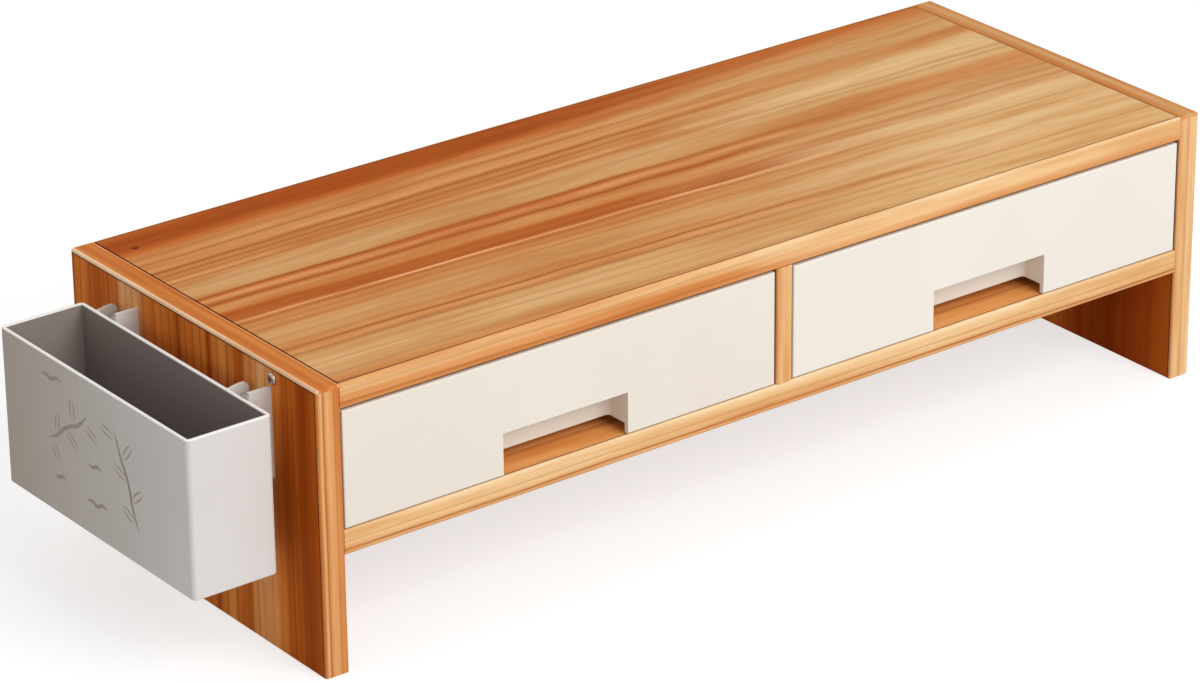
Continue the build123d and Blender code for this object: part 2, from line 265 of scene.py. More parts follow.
def laminate(
    name, grain, across, start, span, figure, lines=(), quiet=None, quiet_lines=(),
    fade=(230, 450), fan=None, wander=5.0, ripple=3.0, seams=(), cap=None, knot=None,
):
    """Wood print. Grain and across are axes, and figure gives the tone at each distance from start.

    Lines are groups of (distance, half width, value), with values from -1, dark, to 1, light. Quiet
    is the calmer figure that takes over where the grain axis passes the fade, fan spreads the lines
    apart, seams are glue lines as (axis, distance, half width), cap is the figure of the band on top
    of a side panel, and knot is the middle and the half size of a pin knot.
    """
    material, tree, shader = new_material(name)
    coordinates = add_node(tree, "ShaderNodeTexCoord")
    in_mm = add_node(
        tree,
        "ShaderNodeVectorMath",
        {0: coordinates.outputs["Object"], 1: (1 / MM, 1 / MM, 1 / MM), 2: ROW_ORIGIN},
        operation="MULTIPLY_ADD",
    )
    axes = add_node(tree, "ShaderNodeSeparateXYZ", {0: in_mm.outputs[0]})
    along = axes.outputs[grain]
    on_cap = None
    if cap:
        on_cap = add_node(
            tree,
            "ShaderNodeMath",
            {0: axes.outputs["Z"], 1: STAND_HEIGHT - BAND},
            operation="GREATER_THAN",
        ).outputs[0]
        along = add_node(
            tree, "ShaderNodeMix", {0: on_cap, 2: along, 3: axes.outputs["Y"]}, data_type="FLOAT"
        ).outputs[0]
    over = add_node(
        tree, "ShaderNodeMath", {0: axes.outputs[across], 1: start}, operation="SUBTRACT"
    ).outputs[0]
    flat = add_node(tree, "ShaderNodeCombineXYZ", {0: along, 1: over, 2: start}).outputs[0]
    for size, amount in ((WANDER_SIZE, wander), (RIPPLE_SIZE, ripple)):
        place_in = add_node(tree, "ShaderNodeVectorMath", {0: flat, 1: size}, operation="DIVIDE")
        bend = add_node(
            tree, "ShaderNodeTexNoise", {"Vector": place_in.outputs[0], "Scale": 1.0, "Detail": 1.0}
        )
        bend = add_node(
            tree,
            "ShaderNodeMath",
            {0: bend.outputs[0], 1: amount, 2: -amount / 2},
            operation="MULTIPLY_ADD",
        )
        over = add_node(
            tree, "ShaderNodeMath", {0: over, 1: bend.outputs[0]}, operation="ADD"
        ).outputs[0]
    if fan:
        spread = add_node(
            tree,
            "ShaderNodeMapRange",
            {
                "Value": over, "From Min": FAN_FRONT, "From Max": FAN_REAR,
                "To Min": fan, "To Max": -fan / 2,
            },
        )
        over = add_node(
            tree,
            "ShaderNodeMath",
            {0: along, 1: spread.outputs[0], 2: over},
            operation="MULTIPLY_ADD",
        ).outputs[0]
    position = add_node(tree, "ShaderNodeMath", {0: over, 1: span}, operation="DIVIDE").outputs[0]
    flat = add_node(tree, "ShaderNodeCombineXYZ", {0: along, 1: over, 2: start}).outputs[0]
    streaks = []
    for size in STREAK_SIZES:
        place_in = add_node(tree, "ShaderNodeVectorMath", {0: flat, 1: size}, operation="DIVIDE")
        streaks.append(
            add_node(
                tree,
                "ShaderNodeTexNoise",
                {"Vector": place_in.outputs[0], "Scale": 1.0, "Detail": 2.0, "Roughness": 0.5},
            ).outputs[0]
        )

    def print_of(tones, groups):
        """The figure's colour with its dark and light lines."""
        colour = add_node(
            tree,
            "ShaderNodeValToRGB",
            {0: position},
            stops=[(mm / span, linear(TONES[tone])) for mm, tone in tones],
        ).outputs[0]
        for group in groups:
            stops = []
            for mm, half_width, value in group:
                for where, level in ((mm - half_width, 0), (mm, value), (mm + half_width, 0)):
                    grey = 0.5 + level / 2
                    stops.append((where / span, (grey, grey, grey, 1)))
            level = add_node(tree, "ShaderNodeValToRGB", {0: position}, stops=stops).outputs[0]
            broken = add_node(
                tree,
                "ShaderNodeMapRange",
                {
                    "Value": streaks[0], "From Min": BREAK_FROM, "From Max": BREAK_TO,
                    "To Min": BREAK_LEAST, "To Max": 1.0,
                },
            ).outputs[0]
            for full, tone in ((0.0, DARK_LINE), (1.0, TONES["peach"])):
                mask = add_node(
                    tree, "ShaderNodeMapRange", {"Value": level, "From Min": 0.5, "From Max": full}
                ).outputs[0]
                mask = add_node(
                    tree, "ShaderNodeMath", {0: mask, 1: broken}, operation="MULTIPLY"
                ).outputs[0]
                colour = add_node(
                    tree, "ShaderNodeMix", {0: mask, 6: colour, 7: linear(tone)}, data_type="RGBA"
                ).outputs[2]
        return colour

    colour = print_of(figure, lines)
    if quiet:
        ragged = add_node(
            tree,
            "ShaderNodeMath",
            {0: streaks[0], 1: FADE_WAVER, 2: -FADE_WAVER / 2},
            operation="MULTIPLY_ADD",
        )
        ragged = add_node(
            tree, "ShaderNodeMath", {0: along, 1: ragged.outputs[0]}, operation="ADD"
        )
        calmness = add_node(
            tree,
            "ShaderNodeMapRange",
            {"Value": ragged.outputs[0], "From Min": fade[0], "From Max": fade[1]},
            interpolation_type="SMOOTHSTEP",
        )
        colour = add_node(
            tree,
            "ShaderNodeMix",
            {0: calmness.outputs[0], 6: colour, 7: print_of(quiet, quiet_lines)},
            data_type="RGBA",
        ).outputs[2]
    if cap:
        colour = add_node(
            tree, "ShaderNodeMix", {0: on_cap, 6: colour, 7: print_of(cap, ())}, data_type="RGBA"
        ).outputs[2]
    for streak, tint in zip(streaks, STREAK_TINTS):
        tinted = add_node(
            tree,
            "ShaderNodeValToRGB",
            {0: streak},
            stops=[(STREAK_FROM, linear(tint)), (STREAK_TO, linear("#FFFFFF"))],
        )
        colour = add_node(
            tree,
            "ShaderNodeMix",
            {0: 1.0, 6: colour, 7: tinted.outputs[0]},
            data_type="RGBA",
            blend_type="MULTIPLY",
        ).outputs[2]
    if knot:
        middle, half_size = knot
        from_middle = add_node(
            tree, "ShaderNodeVectorMath", {0: in_mm.outputs[0], 1: middle}, operation="SUBTRACT"
        )
        in_sizes = add_node(
            tree, "ShaderNodeVectorMath", {0: from_middle.outputs[0], 1: half_size}, operation="DIVIDE"
        )
        away = add_node(tree, "ShaderNodeVectorMath", {0: in_sizes.outputs[0]}, operation="LENGTH")
        knot_mask = add_node(
            tree,
            "ShaderNodeMapRange",
            {
                "Value": away.outputs["Value"], "From Min": 1.0, "From Max": KNOT_CORE,
                "To Max": KNOT_STRENGTH,
            },
        )
        colour = add_node(
            tree,
            "ShaderNodeMix",
            {0: knot_mask.outputs[0], 6: colour, 7: linear(GLUE_LINE)},
            data_type="RGBA",
        ).outputs[2]
    for axis, mm, half_width in seams:
        glue = add_node(
            tree, "ShaderNodeMath", {0: axes.outputs[axis], 1: mm, 2: half_width}, operation="COMPARE"
        )
        glue = add_node(
            tree, "ShaderNodeMath", {0: glue.outputs[0], 1: GLUE_STRENGTH}, operation="MULTIPLY"
        )
        colour = add_node(
            tree,
            "ShaderNodeMix",
            {0: glue.outputs[0], 6: colour, 7: linear(GLUE_LINE)},
            data_type="RGBA",
        ).outputs[2]
    tree.links.new(colour, shader.inputs["Base Color"])
    low, high = LAMINATE_GLOSS
    roughness = add_node(
        tree, "ShaderNodeMapRange", {"Value": streaks[1], "To Min": low, "To Max": high}
    )
    tree.links.new(roughness.outputs[0], shader.inputs["Roughness"])
    shader.inputs["Specular IOR Level"].default_value = LAMINATE_SHEEN
    relief = add_node(
        tree, "ShaderNodeBump", {"Height": streaks[2], "Strength": 0.2, "Distance": LAMINATE_RELIEF}
    )
    tree.links.new(relief.outputs[0], shader.inputs["Normal"])
    return material


# Figures of the boards, by distance from their front edge, and by height for the back panel

TOP_FIGURE = [
    (0, "tan"), (7, "tan"), (12, "honey"), (24, "light"), (34, "honey"), (40, "tan"), (47, "tan"),
    (60, "honey"), (72, "tan"), (80, "amber"), (83.5, "rust"), (86, "rust"), (90, "rust"),
    (94, "orange"), (97, "tan"), (102, "tan"), (105, "orange"), (108, "amber"), (112, "orange"),
    (114.5, "amber"), (117.5, "honey"), (129, "honey"), (136, "tan"), (146, "amber"), (156, "tan"),
    (168, "tan"), (176, "orange"), (181, "russet"), (192, "russet"), (200, "orange"),
]
TOP_LINES_FRONT = [
    (2.6, 1.4, -0.8), (23.5, 1.6, -0.35), (37.3, 2.2, -0.6), (41.0, 2.3, 0.25), (44.2, 1.6, -1.0),
    (57.5, 2.0, -0.2), (69.0, 1.4, -0.45), (80.2, 1.4, -0.8), (82.8, 2.2, 1.0),
]
TOP_LINES_REAR = [
    (105.0, 1.6, -0.7), (109.8, 2.6, 0.5), (113.9, 1.7, -0.9), (135.8, 1.4, -0.6), (138.2, 1.7, 0.3),
    (145.0, 1.4, -0.6), (150.4, 1.7, -0.9), (154.0, 2.3, 0.35), (160.8, 1.3, -0.6),
]
TOP_LINES_FINE = [
    (11.0, 1.6, -0.25), (30.0, 1.5, -0.25), (50.5, 1.6, -0.3), (74.5, 1.4, -0.3), (92.5, 1.8, -0.4),
    (127.0, 1.5, -0.3), (141.0, 1.5, -0.3), (164.5, 1.8, 0.25), (169.0, 1.7, -0.3),
    (184.0, 2.2, -0.25),
]
TOP_QUIET = [
    (0, "tan"), (7, "honey"), (14, "light"), (36, "light"), (56, "cream"), (72, "light"),
    (90, "cream"), (98, "honey"), (108, "honey"), (114, "tan"), (121, "tan"), (127, "light"),
    (138, "cream"), (146, "light"), (152, "tan"), (160, "honey"), (170, "honey"), (177, "tan"),
    (190, "orange"), (200, "tan"),
]
TOP_QUIET_LINES = [
    (36.0, 1.4, -0.5), (38.4, 2.0, 0.3), (75.0, 1.7, -0.3), (98.0, 1.6, -0.4), (101.0, 2.0, 0.2),
    (103.5, 1.4, -0.4), (129.2, 1.4, -0.35), (133.0, 1.4, -0.45), (137.0, 1.7, 0.3),
]
TOP_FAN = 0.03
TOP_KNOT = ((23.2, 181.0, STAND_HEIGHT), (2.6, 2.0, BOARD))
LEFT_FIGURE = [
    (0, "panel russet"), (8, "panel umber"), (12, "panel umber"), (17, "panel russet"),
    (26, "panel russet"), (30, "panel orange"), (36, "panel gold"), (44, "panel light"),
    (56, "panel gold"), (60, "panel russet"), (66, "panel orange"), (74, "panel gold"),
    (82, "panel orange"), (86, "panel umber"), (89, "panel orange"), (104, "panel orange"),
    (110, "panel russet"), (116, "panel orange"), (136, "panel orange"), (144, "panel light"),
    (156, "panel light"), (164, "panel orange"), (172, "panel russet"), (180, "panel russet"),
    (190, "panel orange"), (200, "panel orange"),
]
LEFT_LINES = [
    (14.5, 2.3, -0.5), (27.0, 1.7, -0.4), (48.0, 1.4, -0.4), (58.0, 2.0, -0.6), (70.0, 1.7, -0.7),
    (110.0, 1.7, -0.9), (139.0, 1.6, -0.7), (161.0, 1.7, -0.9), (184.0, 2.0, -0.6),
]
LEFT_LINES_FINE = [
    (6.0, 0.8, -0.6), (10.5, 0.9, -0.7), (19.0, 0.8, -0.6), (23.0, 0.9, -0.8), (33.0, 0.8, -0.5),
    (40.5, 0.8, -0.5), (52.5, 0.9, -0.7), (64.0, 0.8, -0.6), (78.5, 0.9, -0.7), (92.0, 0.9, -0.7),
]
LEFT_LINES_REAR = [
    (98.0, 0.8, -0.6), (104.0, 0.9, -0.8), (117.0, 0.9, -0.7), (123.5, 0.8, -0.6), (130.0, 0.9, -0.7),
    (148.0, 0.8, -0.6), (153.0, 0.8, -0.5), (168.0, 0.9, -0.7), (176.0, 0.8, -0.6), (192.0, 0.9, -0.7),
]
# The right panel's figure keeps to darker umber and deep tones than the left's: painted shade for its
# inner face, which lies under the top
RIGHT_FIGURE_PAINTED_SHADE = [
    (0, "panel russet"), (20, "panel umber"), (46, "panel deep"), (70, "panel umber"),
    (88, "panel orange"), (104, "panel russet"), (120, "panel gold"), (134, "panel russet"),
    (150, "panel umber"), (168, "panel orange"), (184, "panel russet"), (200, "panel orange"),
]
SHELF_FIGURE = [
    (0, "shelf gold"), (30, "shelf tan"), (60, "shelf gold"), (110, "shelf tan"), (200, "shelf gold"),
]
PLAIN_FIGURE = [
    (0, "amber"), (20, "tan"), (44, "amber"), (60, "orange"), (78, "amber"), (100, "tan"),
    (124, "orange"), (150, "amber"), (176, "tan"), (200, "amber"),
]
PLAIN_LINES = [
    (16.0, 1.7, -0.6), (34.0, 1.4, -0.4), (58.0, 1.7, -0.8), (76.0, 1.4, -0.4), (103.0, 1.7, -0.8),
    (131.0, 1.6, -0.5), (158.0, 1.7, -0.8), (181.0, 2.0, -0.6),
]

# Figures of the edge bands, by height for the rails and by distance from the left for the panels. The
# lighter tone at a band's top or outer arris is a painted highlight

RAIL_LEFT = [
    (0, "edge amber"), (2, "edge orange"), (4, "edge amber"), (6, "edge amber"), (9, "edge gold"),
    (12, "edge tan"),
]
RAIL_RIGHT = [
    (0, "edge amber"), (3, "edge tan"), (5, "edge gold"), (9, "edge gold"), (12, "edge highlight"),
]
RAIL_LINES = [(3.0, 0.9, -0.5), (8.6, 0.9, -0.35)]
SHELF_RAIL = [(0, "edge tan"), (3, "edge tan"), (5, "edge gold"), (9, "edge gold"), (12, "edge highlight")]
SHELF_RAIL_LINES = [(2.6, 0.9, -0.75), (6.4, 0.7, -0.35)]
LEFT_EDGE = [
    (0, "edge orange"), (0.8, "edge amber"), (1.7, "edge gold"), (2.8, "edge orange"),
    (5, "edge tan"), (8, "edge amber"), (12, "edge orange"),
]
LEFT_EDGE_LINES = [(2.9, 0.6, -0.6), (8.6, 0.6, -0.45)]
# The left cap is lighter at its outer arris (0 to 1 mm) and its inner arris (from 11.3 mm): painted
# highlights where the rounded arrises catch the light
LEFT_CAP = [
    (0, "cap highlight"), (1.0, "cap highlight"), (1.5, "cap amber"), (5, "cap orange"), (8, "cap amber"),
    (10.8, "cap orange"), (11.3, "peach"), (12, "peach"),
]
RIGHT_EDGE = [(0, "edge tan"), (3, "edge gold"), (5, "edge tan"), (8, "edge gold"), (12, "edge highlight")]
RIGHT_EDGE_LINES = [(5.8, 0.6, -0.4)]
# The right cap's cream at its outer arris is a painted highlight
RIGHT_CAP = [(0, "amber"), (3, "tan"), (7, "honey"), (10.8, "tan"), (12, "cream")]

# Glue lines just inside the bands, and joints where the top meets the side panels

GLUE_HALF_WIDTH = 0.35
JOINT_HALF_WIDTH = 0.7
SEAM = BAND + 0.3
BOARD_SEAMS = [("Y", SEAM, GLUE_HALF_WIDTH), ("Y", STAND_DEPTH - SEAM, GLUE_HALF_WIDTH)]
TOP_SEAMS = BOARD_SEAMS + [
    ("X", BOARD, JOINT_HALF_WIDTH), ("X", STAND_WIDTH - BOARD, JOINT_HALF_WIDTH),
]
PANEL_SEAMS = BOARD_SEAMS + [("Z", STAND_HEIGHT - SEAM, GLUE_HALF_WIDTH)]
BACK_PRINT_FOOT = 57

finishes = {
    "top_board": laminate(
        "laminate_top", "X", "Y", 0, STAND_DEPTH, TOP_FIGURE,
        [TOP_LINES_FRONT, TOP_LINES_REAR, TOP_LINES_FINE], TOP_QUIET, [TOP_QUIET_LINES],
        fan=TOP_FAN, seams=TOP_SEAMS, knot=TOP_KNOT,
    ),
    "drawer_shelf": laminate(
        "laminate_shelf", "X", "Y", 0, STAND_DEPTH, SHELF_FIGURE, [PLAIN_LINES], seams=BOARD_SEAMS
    ),
    "side_panel_left": laminate(
        "laminate_left_panel", "Z", "Y", 0, STAND_DEPTH, LEFT_FIGURE,
        [LEFT_LINES, LEFT_LINES_FINE, LEFT_LINES_REAR], seams=PANEL_SEAMS,
    ),
    "side_panel_right": laminate(
        "laminate_right_panel", "Z", "Y", 0, STAND_DEPTH, RIGHT_FIGURE_PAINTED_SHADE, [PLAIN_LINES],
        seams=PANEL_SEAMS,
    ),
    "centre_divider": laminate(
        "laminate_divider", "Z", "Y", 0, STAND_DEPTH, PLAIN_FIGURE, [PLAIN_LINES]
    ),
    "back_panel": laminate(
        "laminate_back_panel", "X", "Z", BACK_PRINT_FOOT, STAND_DEPTH, PLAIN_FIGURE, [PLAIN_LINES]
    ),
    "top_board_edge_bands": laminate(
        "edging_top_rail", "X", "Z", TOP_FOOT, BOARD, RAIL_LEFT, [RAIL_LINES], RAIL_RIGHT,
        fade=(200, 330), wander=3.0, ripple=1.4,
    ),
    "drawer_shelf_edge_bands": laminate(
        "edging_shelf_rail", "X", "Z", SHELF_FOOT, BOARD, SHELF_RAIL, [SHELF_RAIL_LINES],
        wander=3.0, ripple=1.0,
    ),
    "side_panel_left_edge_bands": laminate(
        "edging_left_panel", "Z", "X", 0, BOARD, LEFT_EDGE, [LEFT_EDGE_LINES],
        wander=0.8, ripple=0.4, cap=LEFT_CAP,
    ),
    "side_panel_right_edge_bands": laminate(
        "edging_right_panel", "Z", "X", STAND_WIDTH - BOARD, BOARD, RIGHT_EDGE, [RIGHT_EDGE_LINES],
        wander=0.8, ripple=0.4, cap=RIGHT_CAP,
    ),
    "centre_divider_edge_band": laminate(
        "edging_divider", "Z", "X", (STAND_WIDTH - DIVIDER) / 2, BOARD, RIGHT_EDGE,
        wander=1.0, ripple=0.5,
    ),
}


# Moulded ABS with a fine spark-eroded texture: matt and even, with faint clouds of 70 mm and a grain
# in the gloss. The grain is 0.4 mm, coarser than the real 0.05 mm, so that it shows

CLOUD_SCALE = 14.0
CLOUD_FROM, CLOUD_TO = 0.35, 0.65
GRAIN_SCALE = 2500.0
GLOSS_SPREAD = 0.06
ABS_RELIEF = 0.03 * MM
ABS_SHEEN = 0.2


def moulded(name, colour, shade, roughness, painted_patches=(), rear=None):
    """Moulded plastic, between a colour and a slightly darker shade of it.

    Painted patches are (low corner, high corner, colour) of places painted another colour, such as
    painted shade in a hollow, and rear is (front, back, tint) where it darkens to a tint towards the
    back, a painted shade.
    """
    material, tree, shader = new_material(name)
    coordinates = add_node(tree, "ShaderNodeTexCoord")
    axes = add_node(tree, "ShaderNodeSeparateXYZ", {0: coordinates.outputs["Object"]})
    cloud = add_node(
        tree,
        "ShaderNodeTexNoise",
        {"Vector": coordinates.outputs["Object"], "Scale": CLOUD_SCALE, "Detail": 2.0},
    )
    body = add_node(
        tree,
        "ShaderNodeValToRGB",
        {0: cloud.outputs[0]},
        stops=[(CLOUD_FROM, linear(shade)), (CLOUD_TO, linear(colour))],
    ).outputs[0]
    # Painted shade: the colour darkens to the tint towards the back
    if rear:
        front, back, tint = rear
        depth = add_node(
            tree,
            "ShaderNodeMapRange",
            {
                "Value": axes.outputs["Y"],
                "From Min": place(0, front, 0).y, "From Max": place(0, back, 0).y,
            },
        )
        body = add_node(
            tree, "ShaderNodeMix", {0: depth.outputs[0], 6: body, 7: linear(tint)}, data_type="RGBA"
        ).outputs[2]
    for low, high, painted_colour in painted_patches:
        mask = None
        for axis, a, b in zip("XYZ", place(*low), place(*high)):
            within = add_node(
                tree,
                "ShaderNodeMath",
                {0: axes.outputs[axis], 1: (a + b) / 2, 2: (b - a) / 2},
                operation="COMPARE",
            ).outputs[0]
            mask = within if mask is None else add_node(
                tree, "ShaderNodeMath", {0: mask, 1: within}, operation="MULTIPLY"
            ).outputs[0]
        body = add_node(
            tree, "ShaderNodeMix", {0: mask, 6: body, 7: linear(painted_colour)}, data_type="RGBA"
        ).outputs[2]
    tree.links.new(body, shader.inputs["Base Color"])
    grain = add_node(
        tree,
        "ShaderNodeTexNoise",
        {"Vector": coordinates.outputs["Object"], "Scale": GRAIN_SCALE, "Detail": 2.0},
    )
    gloss = add_node(
        tree,
        "ShaderNodeMapRange",
        {
            "Value": grain.outputs[0],
            "To Min": roughness - GLOSS_SPREAD, "To Max": roughness + GLOSS_SPREAD,
        },
    )
    tree.links.new(gloss.outputs[0], shader.inputs["Roughness"])
    relief = add_node(
        tree, "ShaderNodeBump", {"Height": grain.outputs[0], "Strength": 0.3, "Distance": ABS_RELIEF}
    )
    tree.links.new(relief.outputs[0], shader.inputs["Normal"])
    shader.inputs["Specular IOR Level"].default_value = ABS_SHEEN
    return material


BIN_LEFT, BIN_RIGHT = -56.0, -12.0
BIN_FRONT, BIN_REAR = 17.0, 171.0
BIN_FOOT, BIN_RIM = 49.5, 126.5
BIN_WALL = 2.0

# Boxes of painted shade and a painted highlight: a darker colour around the bin's hollow, reaching a
# little into its walls, and around the cuts in its left face, under the face itself, and a lighter
# one around its rim. The rear tint is painted shade, full at the bin's rear

HOLLOW_INSET, HOLLOW_DROP = 1.6, 0.6
CUT_SKIN, CUT_DEPTH = 0.04, 1.4
CUT_FRONT, CUT_REAR = BIN_FRONT + 20, BIN_REAR - 10
CUT_FOOT, CUT_TOP = BIN_FOOT + 6, BIN_RIM - 3
RIM_DROP, RIM_MARGIN = 0.45, 0.1
REAR_SHADE_START = BIN_FRONT + 10
BIN_PAINTED_LIGHT = [
    # painted shade inside the hollow
    (
        (BIN_LEFT + HOLLOW_INSET, BIN_FRONT + HOLLOW_INSET, BIN_FOOT + HOLLOW_INSET),
        (BIN_RIGHT - HOLLOW_INSET, BIN_REAR - HOLLOW_INSET, BIN_RIM - HOLLOW_DROP),
        "#938882",
    ),
    # painted shade in the cuts of the engraving
    (
        (BIN_LEFT + CUT_SKIN, CUT_FRONT, CUT_FOOT),
        (BIN_LEFT + CUT_DEPTH, CUT_REAR, CUT_TOP),
        "#A89C90",
    ),
    # painted highlight on the rim
    (
        (BIN_LEFT - RIM_MARGIN, BIN_FRONT - RIM_MARGIN, BIN_RIM - RIM_DROP),
        (BIN_RIGHT + RIM_MARGIN, BIN_REAR + RIM_MARGIN, BIN_RIM + RIM_MARGIN),
        "#F4EEEB",
    ),
]

# The two drawers are one cream plastic: the left one is painted a little darker and the right one a
# little lighter, painted shade and light for light that falls stronger towards the right
finishes["drawer_left"] = moulded("cream_abs_left_drawer", "#E6DED2", "#E3DACE", 0.5)
finishes["drawer_right"] = moulded("cream_abs_right_drawer", "#E9E3D9", "#E7E0D6", 0.5)
bin_finish = moulded(
    "grey_abs_bin", "#DCD7D4", "#D8D2CE", 0.5, BIN_PAINTED_LIGHT, rear=(REAR_SHADE_START, BIN_REAR, "#B3A799")
)
hook_finish = moulded("grey_abs_hooks", "#D8D5D0", "#D2CFCA", 0.45)
finishes["bin_hook_front"] = hook_finish
finishes["bin_hook_rear"] = hook_finish


# Beech: pale turned dowels with dark flecks along the grain, 8 by 0.7 mm, coarser than the real ones

FLECK_SCALE = (120, 1400, 1400)

beech, tree, shader = new_material("beech_dowels")
coordinates = add_node(tree, "ShaderNodeTexCoord")
stretch = add_node(
    tree, "ShaderNodeMapping", {"Vector": coordinates.outputs["Object"], "Scale": FLECK_SCALE}
)
flecks = add_node(
    tree, "ShaderNodeTexNoise", {"Vector": stretch.outputs[0], "Scale": 1.0, "Detail": 2.0}
)
beech_colour = add_node(
    tree,
    "ShaderNodeValToRGB",
    {0: flecks.outputs[0]},
    stops=[(0.33, linear("#A9794F")), (0.45, linear("#D0AA80")), (0.7, linear("#DDBB93"))],
)
tree.links.new(beech_colour.outputs[0], shader.inputs["Base Color"])
shader.inputs["Roughness"].default_value = 0.6
for node in ("top_board_dowels", "shelf_dowels", "divider_dowels"):
    finishes[node] = beech

# Nickel-plated steel: a bright and slightly warm grey, uneven in its gloss from tumbling. The marks
# are 0.3 mm, coarser than the real 0.05 mm, so that they show

TUMBLE_SCALE = 3000.0

nickel, tree, shader = new_material("nickel_plated_screws")
coordinates = add_node(tree, "ShaderNodeTexCoord")
tumbled = add_node(
    tree,
    "ShaderNodeTexNoise",
    {"Vector": coordinates.outputs["Object"], "Scale": TUMBLE_SCALE, "Detail": 2.0},
)
nickel_gloss = add_node(
    tree, "ShaderNodeMapRange", {"Value": tumbled.outputs[0], "To Min": 0.2, "To Max": 0.4}
)
tree.links.new(nickel_gloss.outputs[0], shader.inputs["Roughness"])
shader.inputs["Base Color"].default_value = linear("#B4A99D")
shader.inputs["Metallic"].default_value = 1.0
for node in ("top_board_screws", "shelf_screws", "divider_screws", "bin_hook_screws"):
    finishes[node] = nickel

for node, finish in finishes.items():
    nodes[node].data.materials.clear()
    nodes[node].data.materials.append(finish)


# Modelling. Lengths within SAME_LENGTH count as the same. A direction's part along an axis is over
# ALONG where it runs along that axis, and under ACROSS where it runs across it

SAME_LENGTH = 0.01
ALONG, ACROSS = 0.9, 0.1
SMOOTH_UP_TO = 35


def pick(piece):
    """Makes a piece the active one and the only one selected."""
    bpy.ops.object.select_all(action="DESELECT")
    bpy.context.view_layer.objects.active = piece
    piece.select_set(True)


def choose(kind, test):
    """Selects, in edit mode, the faces or edges that pass a test of their middle and direction."""
    bpy.context.tool_settings.mesh_select_mode = (False, kind == "edges", kind == "faces")
    mesh = bmesh.from_edit_mesh(bpy.context.edit_object.data)
    mesh.normal_update()
    for element in list(mesh.faces) + list(mesh.edges) + list(mesh.verts):
        element.select = False
    for element in getattr(mesh, kind):
        if kind == "faces":
            middle = element.calc_center_median()
            direction = element.normal
        else:
            ends = [vertex.co for vertex in element.verts]
            middle = (ends[0] + ends[1]) / 2
            direction = (ends[1] - ends[0]).normalized()
        element.select = bool(test((middle / MM) + ROW_ORIGIN, direction))
    mesh.select_flush_mode()
    bmesh.update_edit_mesh(bpy.context.edit_object.data)


def near(a, b):
    """Whether two lengths are the same."""
    return abs(a - b) < SAME_LENGTH


def draw_out(x, y, z):
    """Extrudes the selected faces by a distance."""
    bpy.ops.mesh.extrude_region_move(TRANSFORM_OT_translate={"value": (x * MM, y * MM, z * MM)})


def start_block(name, low, high):
    """A block between two corners, taken into edit mode."""
    bpy.ops.object.select_all(action="DESELECT")
    low, high = place(*low), place(*high)
    bpy.ops.mesh.primitive_cube_add(size=1, location=(low + high) / 2, scale=high - low)
    bpy.context.object.name = name
    bpy.ops.object.transform_apply(location=True, rotation=True, scale=True)
    bpy.ops.object.mode_set(mode="EDIT")
    return bpy.context.object


def finish_block():
    """Leaves edit mode, with faces pointing outwards."""
    bpy.ops.mesh.select_all(action="SELECT")
    bpy.ops.mesh.normals_make_consistent(inside=False)
    bpy.ops.object.mode_set(mode="OBJECT")


def combine(body, other, operation):
    """Adds another piece to a body or cuts it away, and removes the other piece."""
    modifier = body.modifiers.new("cut", "BOOLEAN")
    modifier.operation = operation
    modifier.object = other
    modifier.solver = "EXACT"
    pick(body)
    bpy.ops.object.modifier_apply(modifier=modifier.name)
    bpy.data.objects.remove(other)


def smooth(piece):
    """Shades a piece smooth, apart from its sharp edges, with its large faces kept flat."""
    pick(piece)
    bpy.ops.object.shade_smooth_by_angle(angle=math.radians(SMOOTH_UP_TO))
    even = piece.modifiers.new("even_shading", "WEIGHTED_NORMAL")
    even.keep_sharp = True
    bpy.ops.object.modifier_apply(modifier=even.name)


# The storage bin

BIN_CORNER = 2.5
RIM_EASE = 0.6
FOOT_EASE = 0.8
FLOOR_EASE = 0.4

storage_bin = start_block(
    "moulded_storage_bin", (BIN_LEFT, BIN_FRONT, BIN_FOOT), (BIN_RIGHT, BIN_REAR, BIN_RIM)
)
choose("edges", lambda middle, direction: abs(direction.z) > ALONG)
bpy.ops.mesh.bevel(offset=BIN_CORNER * MM, segments=6, affect="EDGES")
choose("faces", lambda middle, direction: direction.z > ALONG)
bpy.ops.mesh.inset(thickness=BIN_WALL * MM)
draw_out(0, 0, BIN_FOOT + BIN_WALL - BIN_RIM)
choose("faces", lambda middle, direction: near(middle.z, BIN_RIM) and direction.z > ALONG)
bpy.ops.mesh.region_to_loop()
bpy.ops.mesh.bevel(offset=RIM_EASE * MM, segments=3, affect="EDGES")
choose("edges", lambda middle, direction: near(middle.z, BIN_FOOT) and abs(direction.z) < ACROSS)
bpy.ops.mesh.bevel(offset=FOOT_EASE * MM, segments=3, affect="EDGES")
choose(
    "edges",
    lambda middle, direction: near(middle.z, BIN_FOOT + BIN_WALL) and abs(direction.z) < ACROSS,
)
bpy.ops.mesh.bevel(offset=FLOOR_EASE * MM, segments=2, affect="EDGES")
finish_block()

# A hook lug and a locating rib on its back, at each bracket. A lug's nose hangs behind the bracket's
# bar, its bridge lies over the bar, and its leg runs down the bin's wall to a foot. Root is how far
# both reach into the wall, and foot sink how far their feet end inside it

HOOK_FRONTS = (35.5, 143.0)
LUG_SETBACK, LUG_THICKNESS = 16.5, 2.2
LUG_TOP, LUG_ROOF = 127.4, 122.6
LEG_BEND, LEG_FOOT = 110.6, 101.0
NOSE_FOOT = 117.0
NOSE_INNER, NOSE_OUTER = -2.1, -4.1
NOSE_RADIUS = 3.8
FIN_START = 126.2
FIN_RADIUS = 2.2
SLOT_OUTER = -6.7
ROOT = -13.0
FOOT_SINK = 0.2
RIB_SETBACK, RIB_THICKNESS = 2.1, 2.0
RIB_TOP, RIB_BEND, RIB_FOOT = 122.0, 114.0, 102.0

